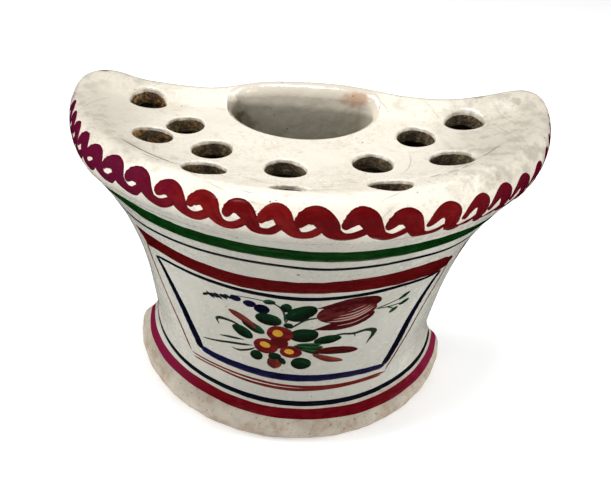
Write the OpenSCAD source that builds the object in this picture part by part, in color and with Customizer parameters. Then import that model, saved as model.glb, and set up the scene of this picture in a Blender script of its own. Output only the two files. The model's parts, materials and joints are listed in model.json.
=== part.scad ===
// Half-moon bough pot in tin-glazed earthenware, with a pierced top for cut flowers.
// +Z is up. The thrown pieces are half turns round the wheel's axis, the round front faces -Y and
// the flat back faces +Y. The origin is at the bottom centre of the bounding box.

/* [Plan] */
// Radius of the rim at its widest
rim_r = 102; // [90:1:125]
// Distance from the wheel's axis to the flat back face
back_offset = 4; // [1:0.5:8]

/* [Heights] */
// Height of the crest of the rolled rim
crest_h = 140; // [122:1:170]
// Height of the back wall's two horns above the crest
horn_rise = 3; // [1:0.5:8]
// Height of the back wall's middle above the crest
mid_rise = 1; // [-2:0.5:4]
// Depth of the back wall's two dips below the crest
dip_drop = 3; // [0:0.5:5]

/* [Back edge] */
// Width of the rounding at the horns' outer corners
horn_rx = 10.5; // [8:0.5:16]
// Width of a horn, from the rim inwards to where the edge starts to fall
horn_w = 13; // [9:0.5:20]
// Distance of the two dips from the middle
dip_x = 45; // [36:1:54]

/* [Foot] */
// Radius of the foot at its widest
foot_r = 77.5; // [72:0.5:92]
// Height of the foot
foot_h = 13; // [10:0.5:18]
// How far the foot stands out from the wall
foot_flare = 7; // [4:0.5:10]
// Where the foot is widest, as a share of its height
foot_widest = 0.42; // [0.3:0.01:0.48]
// Thickness of the floor slab
floor_t = 8; // [5:0.5:10]
// Hollow under the floor slab
floor_gap = 3; // [1:0.5:5]

/* [Wall] */
// Thickness of the thrown wall
wall_t = 6; // [4:0.5:8]
// Thickness of the flat back wall
back_t = 7; // [5:0.5:10]
// Height of the waist, where the wall is narrowest
waist_h = 24; // [20:1:32]
// How far the waist is pinched in from the top of the foot
waist_pinch = 1.3; // [0:0.1:3]
// How far the neck's outside stands inside the rim's widest circle
neck_in = 4; // [2:0.5:6]
// Distance from the crest down to the crease under the rim
crease_drop = 17; // [14:0.5:20]
// How far the wall's curve leans out at its lower control point
belly_lean = 1.3; // [0:0.1:4]
// How far inside the neck the wall's curve aims at its upper control point
neck_lean = 15; // [10:0.5:18]
// How far up the wall the lower control point sits, as a share of the wall's height
belly_rise = 0.38; // [0.3:0.01:0.45]
// How far below the crease the upper control point sits, as a share of the wall's height
neck_fall = 0.25; // [0.2:0.01:0.35]

/* [Rim roll] */
// Radial half-thickness of the roll's oval section
roll_rx = 7.5; // [5:0.5:10]
// Half-height of the roll's oval section
roll_rz = 8.5; // [7:0.5:10]
// Radial thickness of the roll outside the deck's edge
roll_t = 6; // [4:0.5:7]

/* [Deck] */
// Thickness of the pierced deck
deck_t = 7; // [5:0.5:9]
// Depth of the deck's flat middle below the crest
deck_drop = 7.4; // [4:0.2:10]
// Width of the sloping border between the flat middle and the crest
dish_w = 38; // [28:1:44]
// Width of the rounded top of the crest
crest_w = 4; // [2:0.5:6]
// Height lost over the rounded top of the crest
crest_fall = 0.6; // [0:0.1:1]
// Thickness of the skirt under the deck's edge, which stands on the wall
skirt_w = 6; // [5:0.5:8]

/* [Stem holes] */
// Radius of a stem hole
hole_r = 7.2; // [5:0.1:7.8]
// Distance from the deck's edge in to the outer row's hole centres, at the middle of the front
outer_inset = 8.5; // [8.5:0.5:12]
// Distance from the deck's edge in to the inner row's hole centres
inner_inset = 28; // [27:0.5:32]
// Least clay left between a stem hole and the back wall
hole_margin = 0.6; // [0.4:0.1:3]

/* [Well] */
// Inside radius of the D-shaped well
well_r = 30.5; // [22:0.5:32]
// Thickness of the well's wall and floor
well_t = 5; // [3:0.5:6]
// Depth of the well below the deck
well_depth = 62; // [40:1:90]
// Sideways place of the well's centre
well_x = -2; // [-4:0.5:4]

/* [Seams] */
// Size of the clay coils pressed into the inner seams
coil = 5; // [3:0.5:6]

/* [Hidden] */
$fn = 96;
eps = 0.01;

glaze = "linen";
bare_clay = "tan";
biscuit = "sienna";

// Angle and inward nudge of each hand-cut hole, from the row's own arc, seen from above.
inner_holes = [
    [-16.5, 2], [-39.5, 12], [-67, 2], [-94.5, -1], [-120, 1.5], [-141.5, 8], [-165.5, 0]
];
outer_holes = [[-46.5, 9], [-71, 0.5], [-91, 0], [-113, 3.5], [-138.5, 11.5]];

depth = rim_r - back_offset;
slab_face = -back_offset - back_t;          // front face of the back wall
deck_edge_r = rim_r - roll_t;
roll_z = crest_h - roll_rz;                 // level of the rim's widest circle
crease_h = crest_h - crease_drop;
foot_joint_r = foot_r - foot_flare;
foot_in_r = foot_joint_r - wall_t;
foot_widest_h = foot_widest * foot_h;
waist_r = foot_joint_r - waist_pinch;
neck_r = rim_r - neck_in;
floor_top = floor_gap + floor_t;
deck_flat_r = deck_edge_r - dish_w;
deck_z = crest_h - deck_drop;
crest_start_r = deck_edge_r - crest_w;
roll_centre_r = rim_r - roll_rx;
roll_top_z = roll_z + roll_rz * sqrt(1 - pow((deck_edge_r - roll_centre_r) / roll_rx, 2));
skirt_in_r = deck_edge_r - skirt_w;
horn_h = crest_h + horn_rise;
well_floor_z = deck_z - well_depth;
well_out_r = well_r + well_t;
hole_back_y = slab_face - hole_margin - hole_r;     // as near the back wall as a hole may come
hole_places = concat(
    [for (h = inner_holes) hole_place(deck_edge_r - inner_inset - h[1], h[0])],
    [for (h = outer_holes) hole_place(deck_edge_r - outer_inset - h[1], h[0])]);

// A hole's centre at radius r and angle a from the wheel's axis, kept clear of the back wall.
function hole_place(r, a) = [r * cos(a), min(r * sin(a), hole_back_y)];

// Point on a cubic Bezier curve.
function bezier(p, t) =
    pow(1 - t, 3) * p[0] + 3 * t * pow(1 - t, 2) * p[1]
    + 3 * t * t * (1 - t) * p[2] + pow(t, 3) * p[3];

// Points on an oval about c, with half-axes rx and rz, from angle a0 to a1.
function oval(c, rx, rz, a0, a1, n = 12) =
    [for (i = [0:n]) let (a = a0 + (a1 - a0) * i / n) c + [rx * cos(a), rz * sin(a)]];

// Height of the dished deck at radius r, up to where the crest rounds over.
function dish_z(r) = deck_z + (roll_top_z - crest_fall - deck_z)
    * pow(max(0, r - deck_flat_r) / (crest_start_r - deck_flat_r), 2);

// The wall's outside, from the foot's joint up to the crease, as radius and height.
wall_curve = [
    [waist_r, waist_h],
    [waist_r + belly_lean, waist_h + belly_rise * (crease_h - waist_h)],
    [neck_r - neck_lean, crease_h - neck_fall * (crease_h - waist_h)],
    [neck_r, crease_h]
];
wall_steps = 14;
wall_outside = concat(
    [[foot_joint_r, foot_h]], [for (i = [0:wall_steps]) bezier(wall_curve, i / wall_steps)]);

// The wall's inside, bottom to top.
wall_inside = [for (p = wall_outside) p - [wall_t, 0]];

// The foot's rounded outside, bottom to top.
foot_centre = [foot_joint_r, foot_widest_h];
foot_low_angle = -asin(foot_widest_h / (foot_h - foot_widest_h));
foot_outside = oval(foot_centre, foot_flare, foot_h - foot_widest_h, foot_low_angle, 90);

// The roll's rounded outside, from the deck's edge at the crest down to the neck.
roll_centre = [roll_centre_r, roll_z];
roll_top_angle = acos((deck_edge_r - roll_centre_r) / roll_rx);
roll_low_angle = -acos((neck_r - roll_centre_r) / roll_rx);
roll_outside = oval(roll_centre, roll_rx, roll_rz, roll_low_angle, roll_top_angle, 20);

// The horn's rounded corner on the back wall.
horn_corner = oval([rim_r - horn_rx, roll_z], horn_rx, horn_h - roll_z, 0, 90);

// Half turn of a profile, cut off at the back wall's front face.
module thrown(profile) {
    difference() {
        rotate([0, 0, 180]) rotate_extrude(angle = 180) polygon(profile);
        translate([-2 * rim_r, slab_face, -eps]) cube([4 * rim_r, 2 * rim_r, 2 * crest_h]);
    }
}

// Moves a piece from the wheel's axis to the object's own frame.
module placed() { translate([0, (rim_r + back_offset) / 2, 0]) children(); }

// Cutters for the stem holes, through the deck and its skirt.
module stem_cutters() {
    for (p = hole_places) translate([p[0], p[1], crease_h - 1]) cylinder(r = hole_r, h = crest_h);
}

// Half-round column against the back wall, centred on the well.
module well_column(r, z, h) {
    difference() {
        translate([well_x, slab_face, z]) cylinder(r = r, h = h);
        translate([well_x - 2 * r, slab_face, z - eps]) cube([4 * r, 2 * r, h + 2 * eps]);
    }
}

module floor_slab() {
    color(biscuit) placed() thrown([
        [0, floor_gap], [foot_in_r, floor_gap], [foot_in_r, floor_top], [0, floor_top]
    ]);
}

module foot_ring() {
    color(bare_clay) placed()
        thrown(concat([[foot_in_r, 0]], foot_outside, [[foot_in_r, foot_h]]));
}

module front_wall() {
    inside = [for (i = [len(wall_inside) - 1:-1:0]) wall_inside[i]];
    color(glaze) placed() thrown(concat(wall_outside, inside));
}

module rim_roll() {
    color(glaze) placed()
        thrown(concat([[deck_edge_r, crease_h]], [[neck_r, crease_h]], roll_outside));
}

module top_deck() {
    steps = 10;
    rise = [for (i = [0:steps]) let (r = deck_flat_r + (crest_start_r - deck_flat_r) * i / steps)
        [r, dish_z(r)]];
    under = [for (i = [steps:-1:0]) let (r = deck_flat_r + (skirt_in_r - deck_flat_r) * i / steps)
        [r, dish_z(r) - deck_t]];
    color(glaze) placed() difference() {
        thrown(concat(
            [[0, deck_z]], rise, [[deck_edge_r, roll_top_z], [deck_edge_r, crease_h]],
            [[skirt_in_r, crease_h]], under, [[0, deck_z - deck_t]]));
        stem_cutters();
        well_column(well_out_r, deck_z - 2 * deck_t, 4 * deck_t);
    }
}

module well_wall() {
    color(glaze) placed() difference() {
        well_column(well_out_r, well_floor_z, well_depth);
        translate([well_x, slab_face, well_floor_z - eps])
            cylinder(r = well_r, h = well_depth + 2 * eps);
    }
}

module well_floor() {
    color(glaze) placed() well_column(well_out_r, well_floor_z - well_t, well_t);
}

// The back wall's top edge: a high middle, two dips and two horns.
module scalloped_edge() {
    mid_h = crest_h + mid_rise;
    dip_h = crest_h - dip_drop;
    horn_x = rim_r - horn_w;
    steps = 48;
    edge = [for (i = [0:steps]) let (
            x = rim_r * (2 * i / steps - 1), a = abs(x),
            inner = dip_h + (mid_h - dip_h) * (1 + cos(180 * a / dip_x)) / 2,
            outer = dip_h + (horn_h - dip_h) * (1 - cos(180 * (a - dip_x) / (horn_x - dip_x))) / 2)
        [x, a < dip_x ? inner : a < horn_x ? outer : horn_h]];
    rotate([90, 0, 0]) linear_extrude(2 * rim_r, center = true)
        polygon(concat(edge, [[rim_r, -eps], [-rim_r, -eps]]));
}

module back_wall() {
    lower_roll = [for (p = roll_outside) if (p[1] < roll_z) p];
    outline = concat(
        [[0, 0]], foot_outside, wall_outside, lower_roll, horn_corner, [[0, horn_h]]);
    color(glaze) placed() intersection() {
        rotate([0, 0, 180]) rotate_extrude(angle = 180) polygon(outline);
        translate([-2 * rim_r, slab_face, -eps]) cube([4 * rim_r, back_t, 2 * crest_h]);
        scalloped_edge();
    }
}

// Coil of clay in the seam between the floor and the wall, hollowed on its inner side.
module floor_seam_coil() {
    inside_r = [for (p = wall_inside) [p[1], p[0]]];
    coil_top = floor_top + coil;
    hollow = oval([foot_in_r - coil, coil_top], lookup(coil_top, inside_r) - foot_in_r + coil,
        coil, 0, -90);
    color(biscuit) placed()
        thrown(concat([[foot_in_r, floor_top], [foot_in_r, foot_h]], hollow));
}

// Coil of clay down an inner corner, where the front wall meets the back wall.
module seam_coil(side) {
    up = [for (p = wall_inside) if (p[1] >= waist_h) p];
    down = [for (i = [len(up) - 1:-1:0]) up[i] - [coil, 0]];
    intersection() {
        thrown(concat(up, down));
        translate([side > 0 ? 0 : -rim_r, slab_face - coil, 0]) cube([rim_r, coil, crest_h]);
    }
}

module left_seam_coil() { color(biscuit) placed() seam_coil(-1); }

module right_seam_coil() { color(biscuit) placed() seam_coil(1); }

floor_slab();
foot_ring();
front_wall();
back_wall();
rim_roll();
top_deck();
well_wall();
well_floor();
floor_seam_coil();
left_seam_coil();
right_seam_coil();
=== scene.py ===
"""Looks of a half-moon bough pot in tin-glazed earthenware with a pierced top.

All sizes are in millimetres about the wheel's axis: x to the right, q forwards from the axis to
the round front, z up. A finished mesh is in metres in the row frame, with y = axis_y - q.
"""

from __future__ import annotations

import json
import logging
import math
from dataclasses import dataclass, field
from enum import Enum

import bpy  # noqa: E402
import numpy as np  # noqa: E402
from mathutils import Matrix, Vector  # noqa: E402

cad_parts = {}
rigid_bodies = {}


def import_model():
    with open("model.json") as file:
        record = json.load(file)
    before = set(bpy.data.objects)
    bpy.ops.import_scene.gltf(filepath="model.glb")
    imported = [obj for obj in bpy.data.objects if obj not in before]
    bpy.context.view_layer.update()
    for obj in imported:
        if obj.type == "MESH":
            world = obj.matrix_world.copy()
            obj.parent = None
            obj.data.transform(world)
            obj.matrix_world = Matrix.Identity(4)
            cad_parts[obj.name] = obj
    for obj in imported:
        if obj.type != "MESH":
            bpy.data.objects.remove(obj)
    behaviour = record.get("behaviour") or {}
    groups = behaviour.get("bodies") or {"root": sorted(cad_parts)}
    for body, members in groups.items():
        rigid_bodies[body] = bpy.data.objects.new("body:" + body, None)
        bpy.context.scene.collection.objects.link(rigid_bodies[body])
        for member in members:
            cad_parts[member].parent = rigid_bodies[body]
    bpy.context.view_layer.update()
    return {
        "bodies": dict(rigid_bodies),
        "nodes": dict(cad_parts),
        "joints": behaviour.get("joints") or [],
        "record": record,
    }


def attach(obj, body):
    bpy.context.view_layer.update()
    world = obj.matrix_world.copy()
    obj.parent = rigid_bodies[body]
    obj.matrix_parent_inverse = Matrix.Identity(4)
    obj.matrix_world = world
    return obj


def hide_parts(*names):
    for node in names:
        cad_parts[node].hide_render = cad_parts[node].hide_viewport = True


LOG = logging.getLogger("bough_pot")
MM = 0.001
AXIS_Y = 53.0
BODY = "root"
SHARP_ANGLE = math.radians(55)
Array = np.ndarray


# ---------------------------------------------------------------- curves and grids


def smoothstep(value: Array | float, low: float, high: float) -> Array | float:
    """0 below low, 1 above high, and 3t^2 - 2t^3 between them."""
    t = np.clip((value - low) / (high - low), 0.0, 1.0)
    return t * t * (3.0 - 2.0 * t)


def smooth_path(points: list[tuple[float, ...]] | Array, count: int) -> Array:
    """Points evenly spaced along a Catmull-Rom curve through the given points.

    Between points b and c with neighbours a and d, the curve is
    0.5 * (2b + (c - a)t + (2a - 5b + 4c - d)t^2 + (3b - a - 3c + d)t^3).

    Args:
        points: the points to pass through, two or more, each with any number of coordinates.
        count: how many points to return.

    Returns:
        An array of count points, evenly spaced by the length of their first two coordinates.
    """
    p = np.asarray(points, float)
    padded = np.vstack([2 * p[0] - p[1], p, 2 * p[-1] - p[-2]])
    t = np.linspace(0, len(p) - 1, 24 * len(p))
    k = np.minimum(t.astype(int), len(p) - 2)
    t = (t - k)[:, None]
    a, b, c, d = (padded[k + i] for i in range(4))
    curve = 0.5 * (
        2 * b + (c - a) * t + (2 * a - 5 * b + 4 * c - d) * t**2 + (3 * b - a - 3 * c + d) * t**3
    )
    run = np.concatenate([[0], np.cumsum(np.linalg.norm(np.diff(curve[:, :2], axis=0), axis=1))])
    at = np.linspace(0, run[-1], count)
    return np.stack([np.interp(at, run, column) for column in curve.T], 1)


def waver(seed: int, *values: Array, terms: int = 5, rate: float = 1.0) -> Array:
    """A smooth irregular number from -1 to 1: the mean of sines with seeded rates and phases.

    Args:
        seed: fixes the rates and phases.
        values: the parameters that it varies with, already scaled to about one wave per unit.
        terms: how many sines are added.
        rate: multiplies every rate.

    Returns:
        An array of the values' shape.
    """
    rng = np.random.default_rng(seed)
    total = 0.0
    for _ in range(terms):
        phase = rng.uniform(0, 2 * math.pi)
        pace = rng.uniform(0.6, 1.9, len(values)) * rng.choice([-1, 1], len(values)) * rate
        total = total + np.sin(sum(v * k for v, k in zip(values, pace)) + phase)
    return total / terms


def quads(index: Array) -> Array:
    """The four-sided faces between neighbours in a grid of vertex numbers."""
    return np.stack([index[:-1, :-1], index[1:, :-1], index[1:, 1:], index[:-1, 1:]], -1).reshape(
        -1, 4
    )


def outline(index: Array) -> Array:
    """The vertex numbers once round a grid's border, ending where they start."""
    return np.concatenate([index[0], index[1:, -1], index[-1, -2::-1], index[-2::-1, 0]])


def in_frame(x: Array, q: Array, z: Array) -> Array:
    """Pot coordinates as row-frame coordinates, both in millimetres, as the kiln left them.

    The pot drew in as it dried: x moves towards the middle at both horns, more at the left, and
    a little at the waist, and the roll's underside sags outwards at the right.
    """
    x, q, z = np.broadcast_arrays(x, q, z)
    rim = smoothstep(z, 108, 135)
    waist = smoothstep(z, 14, 40) * (1 - smoothstep(z, 105, 125)) * smoothstep(np.abs(x), 50, 74)
    left, right = 3.6 * smoothstep(-x, 70, 102), 1.9 * smoothstep(x, 84, 102)
    sag = 1.8 * smoothstep(x, 66, 92) * np.exp(-(((z - 122.5) / 5) ** 2))
    x = x + rim * (left - right) - 1.1 * np.sign(x) * waist + sag
    return np.stack([x, AXIS_Y - q, z], -1)


@dataclass
class Skin:
    """A mesh in the making: vertices in millimetres, four-sided faces and vertex attributes."""

    vertices: Array
    faces: Array
    values: dict[str, Array] = field(default_factory=dict)

    @staticmethod
    def between(
        outer: Array, inner: Array, ring: bool = False, hidden: float | None = None, **values: Array
    ) -> Skin:
        """A closed solid from an outer and an inner grid of the same shape, joined at the rims.

        Args:
            outer: grid of outer points, rows by columns by 3.
            inner: grid of inner points, of the same shape.
            ring: the last column joins the first, so only the two row ends have rims.
            hidden: if given, the value depth is this for the inner points and 0 for the outer.
            values: numbers for each outer point, which the inner points share.

        Returns:
            The solid, with its faces pointing outwards.
        """
        shape = outer.shape[:2]
        count = shape[0] * shape[1]
        near = np.arange(count).reshape(shape)
        far = near + count
        if ring:
            near, far = (np.concatenate([i, i[:, :1]], 1) for i in (near, far))
            rims = [quads(np.stack([far[0], near[0]])), quads(np.stack([near[-1], far[-1]]))]
        else:
            rims = [quads(np.stack([outline(far), outline(near)]))]
        faces = np.concatenate([quads(near), quads(far)[:, ::-1], *rims])
        vertices = np.concatenate([outer.reshape(-1, 3), inner.reshape(-1, 3)])
        shared = {k: np.tile(np.broadcast_to(v, shape).reshape(-1), 2) for k, v in values.items()}
        if hidden is not None:
            shared["depth"] = np.repeat([0.0, hidden], count)
        return Skin(vertices, faces, shared).turned_out()

    def turned_out(self) -> Skin:
        """The same skin with its faces turned round if its signed volume is below nought."""
        a, b, c, d = (self.vertices[self.faces[:, i]] for i in range(4))
        volume = np.einsum("ij,ij->", a, np.cross(b, c)) + np.einsum("ij,ij->", a, np.cross(c, d))
        if volume < 0:
            self.faces = self.faces[:, ::-1]
        return self

    @staticmethod
    def joined(skins: list[Skin]) -> Skin:
        """Several skins as one, each still its own closed shell."""
        starts = np.cumsum([0] + [len(s.vertices) for s in skins[:-1]])
        return Skin(
            np.concatenate([s.vertices for s in skins]),
            np.concatenate([s.faces + n for s, n in zip(skins, starts)]),
            {k: np.concatenate([s.values[k] for s in skins]) for k in skins[0].values},
        )

    def piece(self, name: str, material: bpy.types.Material, slot: str) -> bpy.types.Object:
        """Makes the Blender object, smooth shaded, riding on the body.

        Args:
            name: the piece's name.
            material: its finish.
            slot: the record's material slot that the finish comes from; not used.

        Returns:
            The new object.
        """
        used, back = np.unique(self.faces, return_inverse=True)
        loops = back.reshape(-1)
        mesh = bpy.data.meshes.new(name)
        mesh.vertices.add(len(used))
        mesh.vertices.foreach_set("co", (self.vertices[used] * MM).astype(np.float32).ravel())
        mesh.loops.add(len(loops))
        mesh.loops.foreach_set("vertex_index", loops.astype(np.int32))
        mesh.polygons.add(len(self.faces))
        mesh.polygons.foreach_set("loop_start", np.arange(0, len(loops), 4, dtype=np.int32))
        mesh.update(calc_edges=True)
        mesh.polygons.foreach_set("use_smooth", np.ones(len(self.faces), bool))
        for key, value in self.values.items():
            layer = mesh.attributes.new(key, "FLOAT", "POINT")
            layer.data.foreach_set("value", value[used].astype(np.float32))
        mesh.set_sharp_from_angle(angle=SHARP_ANGLE)
        mesh.materials.append(material)
        made = bpy.data.objects.new(name, mesh)
        bpy.context.scene.collection.objects.link(made)
        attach(made, BODY)
        LOG.info("%s: %d faces", name, len(self.faces))
        return made


# ---------------------------------------------------------------- the pot's form


@dataclass(frozen=True)
class Hole:
    """A hand-cut stem hole: its centre, radius, soft lip, the lip's reach and how far it closed."""

    x: float
    q: float
    radius: float = 7.3
    lip: float = 1.3
    reach: float = 12.0
    closed: float = 1.0


STEM_HOLES = (
    Hole(-65.2, 18.4, 7.3, 1.2, 9.4, 0.84),
    Hole(63.5, 20.2, 7.4, 1.4, 10.4, 0.88),
    Hole(-46.4, 36.6, 7.0, 0.9, 8.2, 1.15),
    Hole(43.1, 34.4, 7.3, 1.3, 10.8, 1.2),
    Hole(-33.0, 56.9, 7.4, 1.3, 9.6, 1.1),
    Hole(25.7, 59.9, 7.4, 1.3, 10.8, 1.12),
    Hole(-5.2, 69.3, 7.4, 1.3, 8.9, 1.12),
    Hole(-56.0, 50.5, 7.3, 0.9, 8.2, 1.12),
    Hole(54.1, 56.5, 7.5, 1.3, 10.0, 1.08),
    Hole(-32.2, 77.9, 7.3, 1.1, 9.8, 1.08),
    Hole(30.3, 83.9, 7.4, 1.2, 9.6, 0.82),
    Hole(-2.6, 91.8, 6.8, 0.35, 7.6, 0.38),
)


@dataclass(frozen=True)
class PotForm:
    """The pot's shape, which every skin and every brush stroke is laid on."""

    back_q: float = 4.0
    corner: float = 4.5
    roll_corner: float = 8.0
    arc_share: float = 0.96
    crest_r: float = 96.0
    crest_h: float = 139.8
    junction_r: float = 97.5
    edge_round: float = 3.5
    edge_fall: float = 16.0
    crease_h: float = 121.5
    tilt: float = 0.03
    wall_t: float = 6.0
    back_t: float = 7.0
    deck_t: float = 7.0
    profile: tuple[tuple[float, float, float], ...] = (
        (69.0, 0.0, 0.0), (72.5, 0.05, 0.0), (75.6, 1.5, 0.0), (77.3, 4.4, 0.0),
        (77.5, 7.4, 0.0), (76.0, 10.8, 0.0), (73.0, 13.6, 0.0), (70.9, 16.4, 0.0),
        (69.7, 20.0, 0.0), (69.2, 27.0, 0.0), (70.2, 34.0, 0.0), (71.9, 46.0, 0.0),
        (74.0, 60.0, 0.0), (77.6, 76.0, 0.0), (82.8, 92.0, 0.0), (88.6, 105.0, 0.0),
        (93.4, 114.5, 0.0), (95.9, 119.3, 0.0), (97.0, 121.2, 0.0), (98.4, 123.0, 0.0),
        (100.6, 127.0, 0.0), (101.8, 131.0, 0.0), (101.7, 134.2, 0.1), (100.5, 137.0, 0.9),
        (98.6, 139.0, 2.3), (97.5, 139.5, 3.5),
    )
    dish: tuple[tuple[float, float], ...] = (
        (0.0, 132.6), (30.0, 132.6), (50.0, 132.6), (58.0, 132.8), (66.0, 133.4), (75.0, 134.7),
        (84.0, 136.8), (90.0, 138.7), (94.0, 139.65), (96.0, 139.8), (97.5, 139.5),
        (98.6, 139.0), (100.5, 137.0),
    )
    back_edge: tuple[tuple[float, float], ...] = (
        (-102.0, 139.5), (-96.0, 140.6), (-88.0, 141.5), (-80.0, 141.0), (-67.0, 138.0),
        (-46.0, 136.4), (-35.0, 137.2), (-20.0, 140.2), (-4.0, 141.2), (12.0, 141.0),
        (25.0, 139.6), (38.0, 137.8), (52.0, 137.2), (62.0, 138.0), (72.0, 140.0),
        (84.0, 143.0), (91.0, 143.0), (97.0, 141.6), (102.0, 140.0),
    )

    def __post_init__(self) -> None:
        """Works out the finely spaced curves once."""
        for name in ("profile", "dish", "back_edge"):
            object.__setattr__(self, "_" + name, smooth_path(getattr(self, name), 600))
        steps = np.hypot(*np.diff(self._profile[:, :2], axis=0).T)
        object.__setattr__(self, "_climb", np.concatenate([[0], np.cumsum(steps)]))

    def rows(self, low: float, high: float, count: int) -> Array:
        """Profile rows from height low to high: radius, height and inset, as columns."""
        path = self._profile
        ends = np.interp([low, high], path[:, 1], np.arange(len(path)))
        at = np.linspace(*ends, count)
        return np.stack([np.interp(at, np.arange(len(path)), c)[:, None] for c in path.T])

    def radius_at(self, z: Array) -> Array:
        """The outside's radius at height z, below the crest."""
        return np.interp(z, self._profile[:, 1], self._profile[:, 0])

    def climb(self, z: Array) -> Array:
        """The length of the profile from its foot up to height z."""
        return np.interp(z, self._profile[:, 1], self._climb)

    def height(self, climb: Array) -> Array:
        """The height z at that length up the profile."""
        return np.interp(climb, self._climb, self._profile[:, 1])

    def plan(self, s: Array, radius: Array, back: Array, corner: Array) -> tuple[Array, Array]:
        """The half-moon's outline at one level.

        s runs from -1 at the flat back's left end, round the front at 0, to 1 at its right end,
        and on to -2 and 2, which are both the middle of the flat back. The main arc has its
        centre on the axis. It hands over to a corner arc at the angle where the two touch, and
        the corner arc ends tangent to the flat back.

        Args:
            s: place along the outline.
            radius: radius of the main arc.
            back: how far in front of the axis the flat back stands.
            corner: radius of the corner arc.

        Returns:
            The x and q of each point.
        """
        centre = np.sqrt((radius - corner) ** 2 - (back + corner) ** 2)
        turn = np.arctan2(centre, back + corner)
        along = np.abs(s)
        arc = np.minimum(along / self.arc_share, 1.0) * turn
        bend = turn + np.clip((along - self.arc_share) / (1 - self.arc_share), 0, 1) * (
            math.pi - turn
        )
        bent = along > self.arc_share
        x = np.where(bent, centre + corner * np.sin(bend), radius * np.sin(arc))
        x = np.where(along > 1, centre * (2 - along), x)
        q = np.where(bent, back + corner + corner * np.cos(bend), radius * np.cos(arc))
        return np.sign(s) * x, q

    def stations(self, arc_steps: int, corner_steps: int) -> Array:
        """Values of s for a grid, closer together round the two corners."""
        end = np.linspace(self.arc_share, 1, corner_steps + 1)
        arc = np.linspace(-self.arc_share, self.arc_share, arc_steps + 1)
        return np.concatenate([-end[:0:-1], arc, end[1:]])

    def wobble(self, phi: Array, z: Array) -> Array:
        """How far the potter's hands left the round out of true, in millimetres.

        Slow swells round the pot, which grow upwards, and fine throwing rings at the neck.
        """
        grow = 0.35 + 0.65 * smoothstep(z, 15, 110)
        swell = 0.9 * waver(3, phi * 2.2, z / 48) + 0.35 * waver(4, phi * 6, z / 22)
        rings = 0.10 * np.sin(z * 1.25 + 0.8 * np.sin(phi * 2)) * smoothstep(z, 96, 112)
        rings = rings * (1 - smoothstep(z, 123, 128)) + 0.03 * np.sin(z * 1.7 + phi)
        groove = -0.35 * np.exp(-(((z - 120.8 - 0.4 * np.sin(3 * phi)) / 0.9) ** 2))
        return grow * swell + rings + groove

    def top_z(self, x: Array, q: Array) -> Array:
        """Height of the top, before the tilt: the dished deck, swept up to the wavy back edge."""
        level = np.interp(np.hypot(x, q), self._dish[:, 0], self._dish[:, 1])
        level = level + 0.3 * waver(8, x / 14, q / 14)
        edge = np.interp(x, self._back_edge[:, 0], self._back_edge[:, 1])
        from_back = q - self.back_q
        share = 1 - smoothstep(from_back, self.edge_round, self.edge_fall)
        return level + (edge - level) * share

    def tilted(self, x: Array, z: Array) -> Array:
        """Height after the rim's tilt, which grows from the waist up to the rim."""
        return z + self.tilt * x * smoothstep(z, 50, 132)

    def outside(self, s: Array, radius: Array, z: Array, inset: Array | float = 0.0) -> Array:
        """Points of the pot's outside, from a place along the outline and a place up the profile.

        The outline is pushed in and out by the wobble, which fades to nothing at the flat back,
        and the roll is lifted with the edge above it.

        Args:
            s: place along the outline, -1 to 1.
            radius: radius of the profile there.
            z: height of the profile there.
            inset: how far the flat back is drawn in there, over its rounded top edge.

        Returns:
            Points in the row frame, in millimetres.
        """
        s, radius, z, inset = np.broadcast_arrays(s, radius, z, inset)
        rise = smoothstep(z, self.crease_h, self.crest_h)
        x, q = self.plan(s, radius, self.back_q + inset, self.corner_at(z))
        crest = self.plan(s, self.crest_r, self.back_q + self.edge_round, self.roll_corner)
        lift = self.top_z(*crest) - self.crest_h
        reach = np.hypot(x, q)
        fade = smoothstep(q, self.back_q + inset + 1.0, self.back_q + 22) * (
            1 - smoothstep(z, 137.5, 139.5)
        )
        push = 1 + self.wobble(np.arctan2(x, q), z) * fade / reach
        x, q = x * push, q * push
        level = z + lift * rise
        level = level + (self.top_z(x, q) - level) * smoothstep(z, 138.0, 139.5)
        return in_frame(x, q, self.tilted(x, level))

    def face(self, phi: Array, z: Array, proud: Array | float = 0.0) -> Array:
        """Points on the painted round front at angle phi and profile height z, raised by proud.

        The direction outwards is the cross product of the steps along phi and along z.
        """
        phi, z, proud = np.broadcast_arrays(phi, z, proud)
        here, right, above = (
            self.outside(self.place_of(p, h), self.radius_at(h), h)
            for p, h in ((phi, z), (phi + 0.002, z), (phi, z + 0.15))
        )
        normal = np.cross(right - here, above - here)
        normal /= np.linalg.norm(normal, axis=-1, keepdims=True)
        return here + normal * proud[..., None]

    def corner_at(self, z: Array) -> Array:
        """Radius of the outline's two back corners at height z: tighter on the wall."""
        return self.corner + (self.roll_corner - self.corner) * smoothstep(z, 100, 135)

    def place_of(self, phi: Array, z: Array) -> Array:
        """The place s along the outline of an angle phi on the main arc at height z."""
        corner = self.corner_at(z)
        centre = np.sqrt((self.radius_at(z) - corner) ** 2 - (self.back_q + corner) ** 2)
        return phi / np.arctan2(centre, self.back_q + corner) * self.arc_share


FORM = PotForm()


# ---------------------------------------------------------------- node trees


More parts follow.
